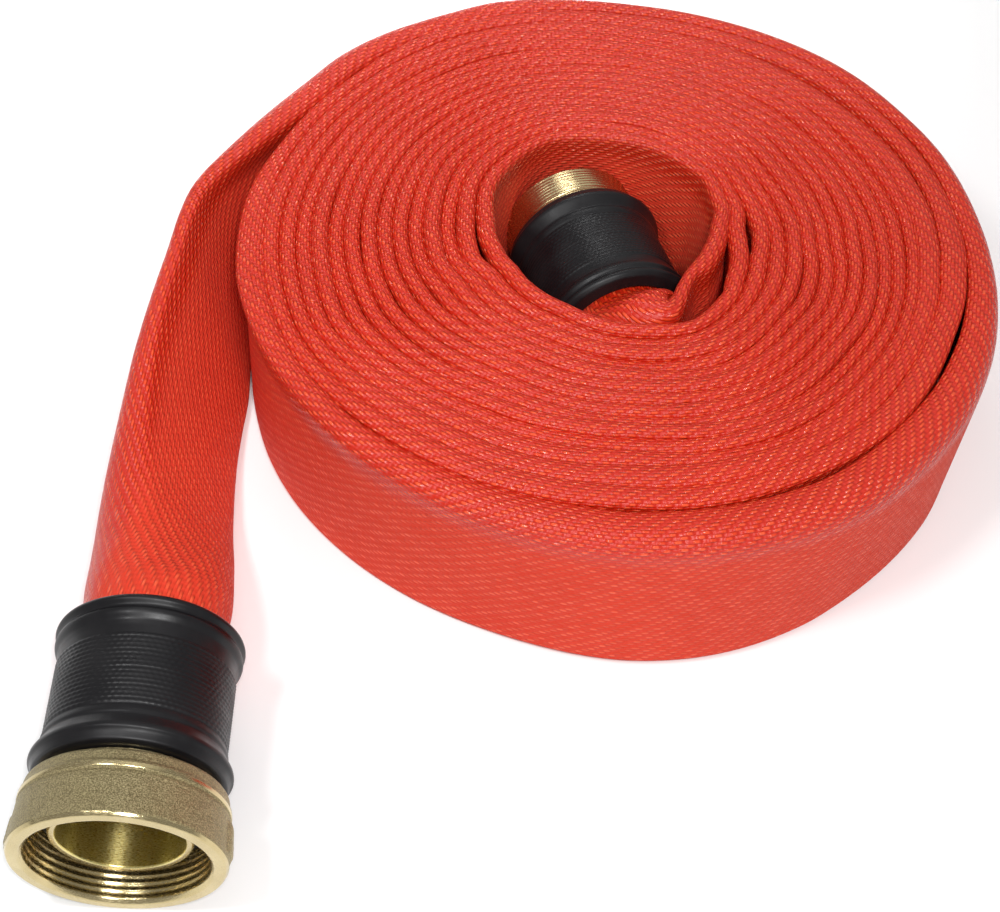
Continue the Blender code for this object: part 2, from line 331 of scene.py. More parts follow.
def hose_end_material():
    """The jacket's hidden ends under the covers: the same reds in a fine mottle."""
    n = Nodes("red_hose_end")
    metres = n.node("ShaderNodeTexCoord", output=3)
    mottle = n.noise(metres, 700.0, 2.0)
    n.feed(n.blend(mottle, (0.40, 0.012, 0.004, 1), (0.70, 0.035, 0.014, 1)), "Base Color")
    n.feed(n.ramp(mottle, 0.3, 0.7, 0.45, 0.7), "Roughness")
    n.feed(n.bump(mottle, 0.0004), "Normal")
    return n.material


def steel_material():
    """Drawn wire, a little cloudy."""
    n = Nodes("drawn_steel_wire")
    metres = n.node("ShaderNodeTexCoord", output=3)
    cloud = n.noise(metres, 300.0, 3.0)
    n.feed(n.blend(cloud, (0.42, 0.42, 0.43, 1), (0.60, 0.60, 0.61, 1)), "Base Color")
    n.feed(n.ramp(cloud, 0.3, 0.7, 0.22, 0.45), "Roughness")
    n.feed(n.bump(cloud, 0.00005), "Normal")
    n.set(Metallic=1.0)
    return n.material


def rubber_material(name, low, high):
    """Black rubber with a fine grain, its roughness between low and high."""
    n = Nodes(name)
    metres = n.node("ShaderNodeTexCoord", output=3)
    cloud = n.noise(metres, 60.0, 4.0, 0.6)
    n.feed(n.blend(cloud, (0.003, 0.003, 0.004, 1), (0.011, 0.010, 0.011, 1)), "Base Color")
    n.feed(n.ramp(cloud, 0.3, 0.7, low, high), "Roughness")
    grain = n.noise(metres, 2600.0, 2.0)
    n.feed(n.bump(grain, 0.00003), "Normal")
    n.set(Specular_IOR_Level=0.3)
    return n.material


def cast_brass_material():
    """Sand-cast brass: a matt, pitted skin with darker grains."""
    n = Nodes("brass_cast")
    metres = n.node("ShaderNodeTexCoord", output=3)
    cloud = n.noise(metres, 60.0, 4.0, 0.6)
    grain = n.noise(metres, 2300.0, 3.0, 0.7)
    skin = n.blend(cloud, (0.42, 0.35, 0.18, 1), (0.62, 0.53, 0.31, 1))
    n.feed(n.blend(n.ramp(grain, 0.42, 0.62), (0.21, 0.17, 0.085, 1), skin), "Base Color")
    n.feed(n.ramp(grain, 0.35, 0.65, 0.40, 0.58), "Roughness")
    n.feed(n.bump(grain, 0.00045), "Normal")
    n.set(Metallic=1.0)
    return n.material


def machined_brass_material(name, dark, light, low, high):
    """Turned brass: fine lines round its axis, drawn out along the map named turn."""
    n = Nodes(name)
    place = n.node("ShaderNodeUVMap", uv_map="turn")
    split = n.tree.nodes.new("ShaderNodeSeparateXYZ")
    n.tree.links.new(place, split.inputs[0])
    around = n.math("MULTIPLY", split.outputs[0], 1.5)
    across = n.math("MULTIPLY", split.outputs[1], 5.0)
    lines = n.noise(n.node("ShaderNodeCombineXYZ", {0: around, 1: across}), 1.0, 3.0, 0.6)
    metres = n.node("ShaderNodeTexCoord", output=3)
    cloud = n.noise(metres, 70.0, 3.0)
    n.feed(n.blend(cloud, (*dark, 1), (*light, 1)), "Base Color")
    n.feed(n.ramp(lines, 0.3, 0.7, low, high), "Roughness")
    n.feed(n.bump(lines, 0.00004), "Normal")
    n.feed(n.node("ShaderNodeTangent", direction_type="UV_MAP", uv_map="turn"), "Tangent")
    n.set(Metallic=1.0, Anisotropic=0.85, Anisotropic_Rotation=0.25)
    return n.material


# ------------------------------------------------------------ hose route

FIRST_AZIMUTH = -20.0               # where the first turn takes over from the lead
LAST_AZIMUTH = 116.0                # where the last turn becomes the tail
TURNS = 15                          # full turns between them
STATION_STEP = 0.75                 # degrees from one station of the roll to the next
JOIN = 8                            # stations over which the roll's ends meet lead and tail
FREE_TURN = 0.62                    # of a turn that is free together with the tail
PATH_STEP = 4.0                     # between the points of the free end's path
HOSE_RADIUS = 24.5                  # of the round hose, outside
WALL = 5.0                          # two walls pressed together
BEAD = 2.6                          # radius of the folded lower edges
LOWEST = 0.0002                     # metres, no part of the hose is lower
SIDE_POINTS = 72                    # along each side of a section's outline
TINY = 1e-9                         # keeps a length of nothing from dividing by zero

# The hose's middle line on rays from the roll's axis. Each ray has its azimuth in
# degrees and the radii where the hose crosses it, by how many whole turns are left
# before the tail. Between crossings radii run evenly. The first ray closes the round.
RAYS = [
    (-60, {0: 148.2, 1: 128.5, 2: 118.0, 3: 112.6, 13: 57.4, 14: 51.8, 15: 40.0}),
    (-33, {0: 147.8, 1: 130.2, 2: 118.8, 13: 55.6, 14: 49.2, 15: 35.4}),
    (-20, {0: 147.3, 1: 131.0, 2: 119.8, 5: 103.6, 9: 81.4, 12: 61.8, 13: 54.8, 14: 47.0,
           15: 32.5}),
    (-6, {0: 147.0, 1: 133.8, 2: 121.4, 5: 104.2, 9: 81.8, 12: 61.8, 13: 54.6, 14: 46.8, 15: 34.6}),
    (3, {0: 146.8, 1: 136.2, 2: 123.2, 12: 62.8, 13: 56.2, 14: 46.8, 15: 37.0}),
    (12, {0: 146.8, 1: 137.4, 2: 125.0, 12: 64.2, 13: 58.0, 14: 47.6, 15: 39.8}),
    (30, {0: 147.6, 1: 139.6, 2: 126.8, 12: 66.2, 13: 60.2, 14: 54.0, 15: 47.6}),
    (50, {0: 149.0, 1: 142.0, 2: 128.8, 14: 60.4, 15: 54.8}),
    (85, {0: 147.4, 1: 140.4, 2: 131.6, 14: 66.0, 15: 60.5}),
    (116, {0: 152.2, 1: 141.8, 2: 134.4, 14: 70.8, 15: 65.4}),
    (145, {0: 141.4, 1: 135.0, 13: 68.2, 14: 62.0}),
    (176, {0: 145.0, 1: 137.6, 2: 131.2, 12: 69.4, 13: 61.8, 14: 54.2}),
    (192, {0: 146.0, 1: 138.2, 2: 131.6, 12: 67.4, 13: 60.8, 14: 51.0}),
    (205, {0: 146.2, 1: 138.8, 2: 132.0, 3: 126.0, 4: 120.0, 12: 63.2, 13: 56.0, 14: 48.2}),
    (240, {0: 146.0, 1: 133.6, 2: 122.8, 3: 114.0, 4: 106.4, 13: 52.6, 14: 46.2}),
    (270, {0: 146.4, 1: 128.6, 2: 117.8, 3: 109.4, 4: 103.3, 13: 54.4, 14: 48.4}),
]
RAYS.append((RAYS[0][0] + 360, RAYS[0][1]))

# How wide the two outermost turns' upper folds stand open: (degrees since the
# turn before passed the tail, half width).
OUTER_FOLD = [(0, 3.4), (44, 3.6), (60, 5.2), (78, 5.4), (94, 4.6), (108, 4.8), (124, 6.6),
              (146, 8.4), (184, 9.0), (211, 8.6), (224, 7.4), (234, 6.6), (247, 5.4), (256, 5.2),
              (266, 4.6), (278, 3.8), (290, 3.4), (320, 3.2), (345, 4.2), (360, 5.4)]
SECOND_FOLD = [(0, 3.0), (90, 3.2), (124, 4.8), (184, 5.2), (224, 5.2), (238, 5.4), (250, 5.4),
               (262, 4.6), (280, 3.4), (360, 3.0)]

# How wide a packed fold may be: (turns before the tail, half width).
PACKED_FOLD = [(0, 4.6), (5, 4.6), (6, 3.3), (11, 3.3), (12, 3.9)]
FIRST_TURN_ENDS = 14.38             # turns before the tail

# Stretches of the roll: turns before the tail from and to, azimuths from and to,
# and over how many degrees the stretch ends softly.
FRONT = (2, 13.4, -122, -48, 40)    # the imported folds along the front
BACK = (2, 14, 58, 112, 40)         # and along the back
FLUSH_OUTSIDE = (0, 2, -140, 20, 40)    # folds that open inward only
ROUND_OUTSIDE = (0, 1, -150, 40, 40)    # the fold that shows its outer side
# How far a wall's lower edge stands outward of its upper one, and on which stretch.
LEANS = [
    (-11.0, 1, 2, 12, 98, 30),
    (2.6, 0, 1, -160, -130, 30),
    (3.0, 0, 1, -98, -66, 30),
    (-8.0, 15, 16, 30, 75, 30),
    (7.5, 15, 16, -40, 12, 30),
    (-7.0, 14, 15, 138, 204, 36),
]
# How far a wall bulges outward between its edges, and on which stretch.
BOWS = [(3.0, 15, 16, -40, 12, 30), (-5.0, 1, 2, 12, 98, 30)]

# The tail: upper edge, lower edge, thickness and its upper fold's half width.
TAIL = [
    ((-93.2, 122.2, 73.2), (-91.0, 120.6, 0.4), 5.4, 6.0),
    ((-115.0, 104.4, 73.0), (-109.4, 101.8, 0.4), 5.6, 6.6),
    ((-129.6, 84.8, 72.8), (-123.4, 81.4, 0.4), 5.6, 6.8),
    ((-145.0, 62.8, 72.4), (-136.0, 60.2, 0.4), 5.6, 6.2),
    ((-158.8, 40.4, 71.6), (-144.6, 37.4, 0.4), 5.8, 4.8),
    ((-168.6, 22.2, 70.4), (-148.2, 14.0, 0.4), 6.0, 3.8),
    ((-172.8, 8.0, 68.6), (-150.0, -16.0, 0.4), 6.4, 3.4),
    ((-175.6, -10.0, 66.0), (-149.2, -36.0, 0.4), 7.0, 3.5),
    ((-179.3, -32.0, 62.5), (-150.0, -53.0, 0.6), 8.0, 4.0),
    ((-182.6, -56.0, 58.0), (-150.4, -71.0, 1.2), 10.0, 5.0),
    ((-184.9, -82.0, 52.0), (-149.6, -92.0, 2.5), 14.0, 7.0),
    ((-186.9, -107.0, 46.0), (-147.8, -113.0, 6.0), 22.0, 11.0),
    ((-188.6, -131.0, 41.0), (-143.8, -134.0, 14.0), 33.0, 16.5),
    ((-190.3, -152.0, 37.5), (-140.0, -153.0, 25.0), 43.0, 21.5),
    ((-189.4, -166.0, 35.5), (-139.9, -166.0, 33.0), 48.0, 24.0),
]


def smooth(share):
    """An S-curve from 0 at 0 to 1 at 1, level beyond both."""
    share = np.clip(share, 0.0, 1.0)
    return share * share * (3 - 2 * share)


def wave(x, length, seed):
    """Smooth noise from -1 to 1 along x, a sum of three sines with fixed phases."""
    layers = (1, 2, 3)
    total = np.zeros_like(x)
    for k in layers:
        phase = math.sin(seed * 12.9898 + k * 78.233) * 43758.5453
        total += np.sin(2 * math.pi * x * (0.62 + 0.53 * k) / length + phase) / k
    return total / sum(1 / k for k in layers)


def turns_before_tail(degrees):
    return (LAST_AZIMUTH + 360 * TURNS - degrees) / 360


def crossings(azimuth, radii):
    """A ray's turns before the tail, to a thousandth of a turn, and its radii."""
    part = round((LAST_AZIMUTH - azimuth) / 360 % 1, 3)
    return [whole + part for whole in radii], list(radii.values())


def roll_radius(degrees):
    """The middle line's radius at each angle wound since the first turn."""
    turns_left = turns_before_tail(degrees)
    azimuth = (degrees + 60) % 360 - 60
    radius = np.zeros_like(degrees)
    for (a0, ray0), (a1, ray1) in zip(RAYS, RAYS[1:]):
        here = (azimuth >= a0) & (azimuth < a1)
        even = (azimuth[here] - a0) / (a1 - a0)
        share = (smooth(even) + even) / 2
        r0 = np.interp(turns_left[here], *crossings(a0, ray0))
        r1 = np.interp(turns_left[here], *crossings(a1, ray1))
        radius[here] = r0 + (r1 - r0) * share
    return radius


def near(degrees, turn_from, turn_to, azimuth_from, azimuth_to, soft):
    """1 on a stretch of the roll and 0 away from it, with soft ends in azimuth."""
    turns_left = turns_before_tail(degrees)
    middle = (azimuth_from + azimuth_to) / 2
    half = (azimuth_to - azimuth_from) / 2
    off = np.abs((degrees - middle + 180) % 360 - 180)
    inside = smooth((half + soft / 2 - off) / soft)
    return inside * ((turns_left >= turn_from) & (turns_left < turn_to))


def summed(degrees, stretches):
    """The amounts of the stretches, each on its own stretch of the roll."""
    return sum(amount * near(degrees, *where) for amount, *where in stretches)


def spline(points, share):
    """Catmull-Rom through rows of points; share counts from point 1."""
    points = np.asarray(points, float)
    i = np.clip(np.floor(share).astype(int), 0, len(points) - 4)
    t = (share - i)[:, None]
    p0, p1, p2, p3 = points[i], points[i + 1], points[i + 2], points[i + 3]
    return 0.5 * (
        2 * p1 + (p2 - p0) * t + (2 * p0 - 5 * p1 + 4 * p2 - p3) * t ** 2
        + (3 * p1 - p0 - 3 * p2 + p3) * t ** 3
    )


def upper_folds(degrees, radius, arc):
    """Half widths of the upper folds, which round out until they meet."""
    turns_left = turns_before_tail(degrees)
    inner_gap = radius - roll_radius(np.maximum(degrees - 360, FIRST_AZIMUTH))
    outer_gap = roll_radius(np.minimum(degrees + 360, degrees[-1])) - radius
    inner_gap = np.where(turns_left > FIRST_TURN_ENDS, outer_gap, inner_gap)
    outer_gap = np.where(turns_left < 1, inner_gap, outer_gap)
    widest = np.interp(turns_left, *zip(*PACKED_FOLD))
    packed = np.clip((inner_gap + outer_gap) / 4 + 0.3, 2.4, widest)
    # loose folds stand open where the outer turns run along the front
    into = (1 - turns_left % 1) * 360
    outermost = turns_left < 1
    second = (turns_left >= 1) & (turns_left < 2)
    fold = np.where(outermost, np.interp(into, *zip(*OUTER_FOLD)), packed)
    fold = np.where(second, np.interp(into, *zip(*SECOND_FOLD)), fold)
    fold = np.maximum(fold, np.minimum(packed, 3.9))
    for turn, extra in ((2, 2.2), (3, 1.1)):
        fold = np.maximum(fold, BEAD + extra * near(degrees, turn, turn + 1, -135, -75, 40))
    fold += 0.12 * wave(arc, 90, 3)
    return fold + 0.35 * np.maximum(near(degrees, *FRONT), near(degrees, *BACK))


def roll_rows():
    """Stations of the wound part: upper edge, lower edge and section values."""
    degrees = np.arange(FIRST_AZIMUTH, LAST_AZIMUTH + 360 * TURNS + 0.01, STATION_STEP)
    radius = roll_radius(degrees)
    turns_left = turns_before_tail(degrees)
    arc = np.cumsum(np.radians(STATION_STEP) * radius)
    fold = upper_folds(degrees, radius, arc)

    # the edges wander a little, and no turn stands quite level with the next
    top_r = radius + 0.25 * wave(arc, 110, 7)
    bottom_r = radius + 0.5 * wave(arc, 240, 5) + summed(degrees, LEANS)
    top_z = ROLL_HEIGHT - 1.0 + 1.1 * wave(arc, 310, 11) * smooth(turns_left)
    top_z += -1.2 * near(degrees, 3, 14, -180, 180, 1) * np.abs(wave(turns_left * 97, 40, 13))
    bottom_z = 0.5 + 0.3 * (1 + wave(arc, 200, 17))
    angle = np.radians(degrees)
    out = np.stack((np.cos(angle), np.sin(angle)), 1)
    top = np.column_stack((out * top_r[:, None], top_z))
    bottom = np.column_stack((out * bottom_r[:, None], bottom_z))

    # packed folds lie nearly level with each other along the front and the back
    level = near(degrees, *FRONT) * (0.72 + 0.28 * wave(turns_left * 31, 40, 19))
    level = np.maximum(level, 0.55 * near(degrees, *BACK))
    flat = 0.75 * np.clip((fold - 3.3) / 1.2, 0, 1) * (turns_left < 4)
    inner_flat = np.maximum(flat, level)
    outer_flat = np.maximum(flat * (1 - near(degrees, *ROUND_OUTSIDE)), level)

    wall = np.full_like(degrees, WALL)
    bead = np.full_like(degrees, BEAD)
    flush = near(degrees, *FLUSH_OUTSIDE)
    bow = summed(degrees, BOWS)
    values = np.column_stack((wall, fold, bead, flush, bow, inner_flat, outer_flat))
    return top, bottom, values


def section_row(thickness, fold=0.0):
    """Section values of a free stretch, its upper fold at least that half width.

    They are the wall, the upper fold's and the lower fold's half width, how far
    the fold opens inward only, the bow, and how flat the upper fold's two sides
    are.
    """
    wide = max(fold, thickness / 2)
    puff = min(1.0, (wide - thickness / 2) / 2)
    return (thickness, wide, thickness / 2, 0.75 * puff, 0.0, 0.35 * puff, 0.0)


def through(rows, share):
    """Upper edges, lower edges and section values along a curve through rows."""
    return tuple(spline([row[k] for row in rows], share) for k in range(3))


def tail_rows(top, bottom, values):
    """Stations from the roll's last ones to the female coupling's cover."""
    end_y = HOSE_END + COVER_FRONT["female"] - 1.5
    centre = FEMALE_ORIGIN - ROLL + (0, end_y, 0)
    side = np.array((HOSE_RADIUS, 0, 0))
    rows = [(top[i], bottom[i], values[i]) for i in (-2 * JOIN, -JOIN)]
    rows += [(high, low, section_row(thick, fold)) for high, low, thick, fold in TAIL]
    for further in (0, 12):
        at = centre - (0, further, 0)
        rows.append((at - side, at + side, section_row(2 * HOSE_RADIUS)))
    return through(rows, np.arange(0, len(TAIL) + 1.001, 0.1))


# The lead: middle line, thickness, how far its upper edge is moved, and how much
# that edge stands up.
LEAD = [
    ((7.8, -29.0, 38.0), 36.0, (0, 0), 6.0),
    ((11.4, -34.6, 37.4), 24.0, (0, 0), 8.0),
    ((17.6, -37.4, 36.8), 12.0, (-1, 1), 2.0),
    ((23.4, -34.4, 36.8), 7.0, (-3, 3), 0.0),
    ((28.0, -28.0, 36.8), 5.6, (-5, 4), 0.0),
    ((32.0, -20.4, 36.8), 5.2, (-6, 3), 0.0),
]


def lead_rows(top, bottom, values):
    """Stations from the male coupling's cover to the roll's first ones."""
    side = np.cross(MALE_AXIS, (0, 0, 1.0))
    side /= np.linalg.norm(side)
    up = np.cross(side, MALE_AXIS)
    rows = []
    for past in (-14.0, -1.5, 6.0):
        centre = MALE_ORIGIN - ROLL + MALE_AXIS * (COVER_FRONT["male"] + HOSE_END + past)
        reach = up * HOSE_RADIUS
        rows.append((centre + reach, centre - reach, section_row(2 * HOSE_RADIUS)))
    for centre, thickness, (dx, dy), rise in LEAD:
        straight = (2 * math.pi * HOSE_RADIUS - math.pi * thickness) / 2
        half = min(straight + thickness, ROLL_HEIGHT - 1.5) / 2
        centre = np.array(centre)
        high = centre + (dx, dy, min(half + rise, ROLL_HEIGHT - centre[2]))
        rows.append((high, centre - (0, 0, half), section_row(thickness)))
    rows += [(top[i], bottom[i], values[i]) for i in (0, JOIN)]
    return through(rows, np.arange(0, len(rows) - 3 + 0.001, 0.08))


def hose_rows():
    """All stations of the hose, how far along it each is, and where the roll starts."""
    top, bottom, values = roll_rows()
    lead = lead_rows(top, bottom, values)
    wound = (top[1:-JOIN], bottom[1:-JOIN], values[1:-JOIN])
    tail = tail_rows(top, bottom, values)
    rows = [np.concatenate((lead[k], wound[k], tail[k][1:])) for k in range(3)]
    middle = (rows[0] + rows[1]) / 2
    steps = np.linalg.norm(np.diff(middle, axis=0), axis=1)
    run = np.concatenate(([0], np.cumsum(steps)))
    return run, rows, run[len(lead[0]) - 1]


def resample(run, rows, at):
    return np.column_stack([np.interp(at, run, rows[:, k]) for k in range(rows.shape[1])])


def section_outlines(width, values):
    """Each station's closed section: points (along the width, outward) from its top.

    They go down the inner side and back up the outer one, SIDE_POINTS to a side.
    """
    wall, fold, bead, flush, bow, flat_in, flat_out = (
        values[:, k][:, None] for k in range(7)
    )
    w = width[:, None]
    y = w / 2 * (1 + np.cos(np.linspace(0, math.pi, SIDE_POINTS)))[None, :]
    fold = np.minimum(fold, w / 2)
    bead = np.minimum(bead, w / 2)
    bead_cap = np.sqrt(np.clip(bead ** 2 - np.clip(bead - y, 0, None) ** 2, 0, None))
    from_bottom = smooth((y - bead) / (3.2 * (bead - wall / 2) + 6))
    body_bottom = bead + (wall / 2 - bead) * from_bottom
    halves = []
    for flat in (flat_in, flat_out):
        cap = fold + (np.minimum(fold, 1.5) - fold) * flat
        over = np.clip(y - (w - cap), 0, None) / cap
        fold_cap = fold * np.sqrt(np.clip(1 - over ** 2, 0, None))
        from_top = smooth((w - cap - y) / (3.2 * (fold - wall / 2) + 6))
        body_top = fold + (wall / 2 - fold) * from_top
        half = np.where(y < w - cap, np.maximum(body_top, body_bottom), fold_cap)
        half = np.where(y < bead, np.minimum(half, bead_cap), half)
        round_half = np.sqrt(np.clip((w / 2) ** 2 - (y - w / 2) ** 2, 0, None))
        halves.append(np.where(2 * fold + 0.01 >= w, round_half, half))
    shift = -np.clip(body_top - wall / 2, 0, None) * flush + bow * np.sin(math.pi * y / w)
    inner = np.stack((y - w / 2, shift - halves[0]), 2)
    outer = np.stack((y - w / 2, shift + halves[1]), 2)[:, ::-1]
    return np.concatenate((inner, outer[:, 1:]), 1)


def sections(top, bottom, values, columns):
    """Points of every station's section at the given yarn columns.

    Column 0 is the middle of the upper edge; they count down the inner side,
    under the lower edge and up the outer side.
    """
    middle = (top + bottom) / 2
    ahead = np.gradient(middle, axis=0)
    ahead /= np.linalg.norm(ahead, axis=1)[:, None] + TINY
    across = top - bottom
    width = np.linalg.norm(across, axis=1)
    across /= width[:, None]
    outward = np.cross(ahead, across)
    outward /= np.linalg.norm(outward, axis=1)[:, None] + TINY
    outlines = section_outlines(width, values)
    step = np.linalg.norm(np.diff(outlines, axis=1), axis=2)
    run = np.concatenate((np.zeros((len(top), 1)), np.cumsum(step, axis=1)), 1)
    halfway = COLUMNS / 2
    result = np.zeros((len(top), len(columns), 3))
    for i, (outline, along) in enumerate(zip(outlines, run)):
        down = along[SIDE_POINTS - 1]
        up = along[-1] - down
        at = np.where(
            columns <= halfway,
            columns / halfway * down,
            down + (columns - halfway) / halfway * up,
        )
        a = np.interp(at, along, outline[:, 0])
        b = np.interp(at, along, outline[:, 1])
        result[i] = middle[i] + a[:, None] * across[i] + b[:, None] * outward[i]
    return result


def hose_mesh(name, run, rows, start, end, step, columns, material):
    """A stretch of the hose from start to end as a tube, open at its two ends."""
    count = max(2, int(round((end - start) / step)) + 1)
    at = np.linspace(start, end, count)
    # one more station beyond each end, so that neighbouring pieces point the same way
    padded = np.concatenate(([start - 1], at, [end + 1]))
    top, bottom, values = (resample(run, rows[k], padded) for k in range(3))
    points = sections(top, bottom, values, columns)[1:-1]
    points = (points + ROLL) * MM
    points[:, :, 2] = np.maximum(points[:, :, 2], LOWEST)
    n, m = points.shape[0], points.shape[1]
    index = np.arange(n * m).reshape(n, m)
    following = np.roll(index, -1, axis=1)
    quads = np.stack((index[:-1], following[:-1], following[1:], index[1:]), 2).reshape(-1, 4)
    quads = quads[:, ::-1]
    mesh = bpy.data.meshes.new(name)
    mesh.vertices.add(n * m)
    mesh.vertices.foreach_set("co", points.reshape(-1).astype(np.float32))
    mesh.loops.add(quads.size)
    mesh.loops.foreach_set("vertex_index", quads.reshape(-1).astype(np.int32))
    mesh.polygons.add(len(quads))
    mesh.polygons.foreach_set("loop_start", np.arange(0, quads.size, 4, dtype=np.int32))
    mesh.polygons.foreach_set("loop_total", np.full(len(quads), 4, dtype=np.int32))
    layer = mesh.uv_layers.new(name="weave")
    column_of = np.concatenate((columns, [COLUMNS]))
    u = np.repeat(at / FLOAT_PITCH, m).reshape(n, m)
    ring = np.arange(m)
    corner_u = np.stack((u[1:], u[1:], u[:-1], u[:-1]), 2)
    low = np.broadcast_to(column_of[ring], (n - 1, m))
    high = np.broadcast_to(column_of[ring + 1], (n - 1, m))
    corner_v = np.stack((low, high, high, low), 2)
    uv = np.stack((corner_u, corner_v), 3).reshape(-1, 2)
    layer.data.foreach_set("uv", uv.reshape(-1).astype(np.float32))
    mesh.update(calc_edges=True)
    mesh.validate()
    mesh.shade_smooth()
    mesh.materials.append(material)
    obj = bpy.data.objects.new(name, mesh)
    bpy.context.scene.collection.objects.link(obj)
    return obj


def column_set(top_fine, bottom_fine, side_steps, fine=0.5):
    """Yarn columns to sample: fine near the two edges, coarse on the sides."""
    half = COLUMNS / 2
    down = list(np.arange(0, top_fine, fine))
    down += list(np.linspace(top_fine, half - bottom_fine, side_steps + 1))
    down += list(np.arange(half - bottom_fine + fine, half + 0.001, fine))
    up = [COLUMNS - c for c in reversed(down) if c > 0.001]
    return np.array(sorted(set(np.round(down + up, 4))))


def make_hose(material):
    """The hose in pieces: lead, turns and free end; returns that end, its path and length."""
    run, rows, first = hose_rows()
    azimuth = np.unwrap(np.arctan2(rows[0][:, 1], rows[0][:, 0]))
    wound = (azimuth - np.interp(first, run, azimuth)) / (2 * math.pi)
    turns = (LAST_AZIMUTH - FIRST_AZIMUTH) / 360 + TURNS
    leave = float(np.interp(turns - FREE_TURN, wound, run))
    cuts = [first] + [float(np.interp(k, wound, run)) for k in range(1, TURNS)] + [leave]

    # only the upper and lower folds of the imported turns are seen, so the walls
    # between them are coarse; a turn with a free side is fine all round
    packed = column_set(9, 6, 8)
    free = column_set(27, 27.5, 1)
    lead = hose_mesh("hose_lead_in", run, rows, 0.5, first, 1.2, free, material)
    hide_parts("hose_lead")
    pieces = [lead]
    for k, (start, end) in enumerate(zip(cuts, cuts[1:]), 1):
        columns = free if k in (1, TURNS) else packed
        turn = hose_mesh(f"hose_turn_{k:02d}", run, rows, start, end, 2.0, columns, material)
        pieces.append(turn)
    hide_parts("hose_roll")
    tail = hose_mesh("hose_tail_end", run, rows, leave, run[-1], 2.1, free, material)
    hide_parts("hose_tail")
    pieces.append(tail)
    for piece in pieces:
        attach(piece, "hose")

    at = np.arange(leave, run[-1], PATH_STEP)
    path = (resample(run, (rows[0] + rows[1]) / 2, at) + ROLL) * MM
    length = float(np.linalg.norm(np.diff(path, axis=0), axis=1).sum())
    return tail, path, length


# ------------------------------------------------------------ couplings


COARSE = 2.4                        # longest edge of an outline where it is plain
THREAD_PITCH = {"female": 2.6, "male": 1.6}
NUT_RADIUS = 35.0
RIBS = (14.4, 40.4, 16)             # of a cover: first and last distance, how many
TURN_UNITS = 10                     # of the map named turn, to a radian


def frame_of(axis):
    """Three directions: two across an axis and the axis itself."""
    axis = Vector(axis).normalized()
    side = axis.cross(Vector((0, 0, 1))).normalized()
    return np.array([side, side.cross(axis), axis])


def rounded(points, reach, steps=4):
    """A closed outline with its corners cut back by reach and rounded."""
    points = np.asarray(points, float)
    result = []
    for i, corner in enumerate(points):
        ends = []
        for other in (points[i - 1], points[(i + 1) % len(points)]):
            way = other - corner
            length = np.linalg.norm(way)
            ends.append(corner + way * min(reach, 0.45 * length) / length)
        for t in np.linspace(0, 1, steps + 1):
            result.append((1 - t) ** 2 * ends[0] + 2 * t * (1 - t) * corner + t * t * ends[1])
    return np.array(result)


def divided(points, longest, plain_inside=0.0):
    """A closed outline with its long edges divided, coarsely inside a radius."""
    result = []
    for a, b in zip(points, np.roll(points, -1, axis=0)):
        most = COARSE if max(a[0], b[0]) < plain_inside else longest
        count = max(1, int(math.ceil(np.linalg.norm(b - a) / most)))
        result += [a + (b - a) * k / count for k in range(count)]
    return np.array(result)


def turned(name, outline, origin, axis, materials, steps, relief=None, pick=None):
    """A closed outline of (radius, distance from the face) turned about an axis.

    relief(radius, distance, angle, outer) is how far a point is pushed out, where
    outer is how much the surface faces away from the axis, from -1 to 1.
    pick(radius, distance) is the number of a face's material.
    """
    outline = np.asarray(outline, float)
    count = len(outline)
    ahead = np.roll(outline, -1, axis=0) - np.roll(outline, 1, axis=0)
    ahead /= np.linalg.norm(ahead, axis=1)[:, None] + TINY
    normal = np.column_stack((ahead[:, 1], -ahead[:, 0]))
    following = np.roll(outline, -1, axis=0)
    area = np.sum(outline[:, 0] * following[:, 1] - following[:, 0] * outline[:, 1])
    normal *= math.copysign(1, area)
    angle = np.arange(steps) * 2 * math.pi / steps
    r = np.repeat(outline[:, 0][:, None], steps, 1)
    z = np.repeat(outline[:, 1][:, None], steps, 1)
    if relief is not None:
        push = relief(r, z, angle[None, :], normal[:, 0][:, None])
        r, z = r + push * normal[:, 0][:, None], z + push * normal[:, 1][:, None]
    side, up, along = frame_of(axis)
    place = (
        r[..., None] * (np.cos(angle)[None, :, None] * side + np.sin(angle)[None, :, None] * up)
        + z[..., None] * along + np.asarray(origin)
    ) * MM
    index = np.arange(count * steps).reshape(count, steps)
    right = np.roll(index, -1, axis=1)
    below = np.roll(index, -1, axis=0)
    quads = np.stack((index, right, np.roll(below, -1, axis=1), below), 2).reshape(-1, 4)
    if area > 0:
        quads = quads[:, ::-1]
    mesh = bpy.data.meshes.new(name)
    mesh.from_pydata(place.reshape(-1, 3).tolist(), [], quads.tolist())
    run = np.concatenate(([0], np.cumsum(np.linalg.norm(following - outline, axis=1))))
    run0 = np.repeat(run[:-1][:, None], steps, 1)
    run1 = np.repeat(run[1:][:, None], steps, 1)
    around0 = np.repeat(TURN_UNITS * angle[None, :], count, 0)
    around1 = around0 + TURN_UNITS * 2 * math.pi / steps
    corners = [(around0, run0), (around1, run0), (around1, run1), (around0, run1)]
    if area > 0:
        corners = corners[::-1]
    uv = np.stack([np.stack(c, 2) for c in corners], 2).reshape(-1, 2)
    mesh.uv_layers.new(name="turn").data.foreach_set("uv", uv.reshape(-1).astype(np.float32))
    for material in materials:
        mesh.materials.append(material)
    if pick is not None:
        middle = (outline + following) / 2
        kinds = [pick(*m) for m in middle]
        mesh.polygons.foreach_set("material_index", np.repeat(kinds, steps).astype(np.int32))
    mesh.shade_smooth()
    obj = bpy.data.objects.new(name, mesh)
    bpy.context.scene.collection.objects.link(obj)
    return obj


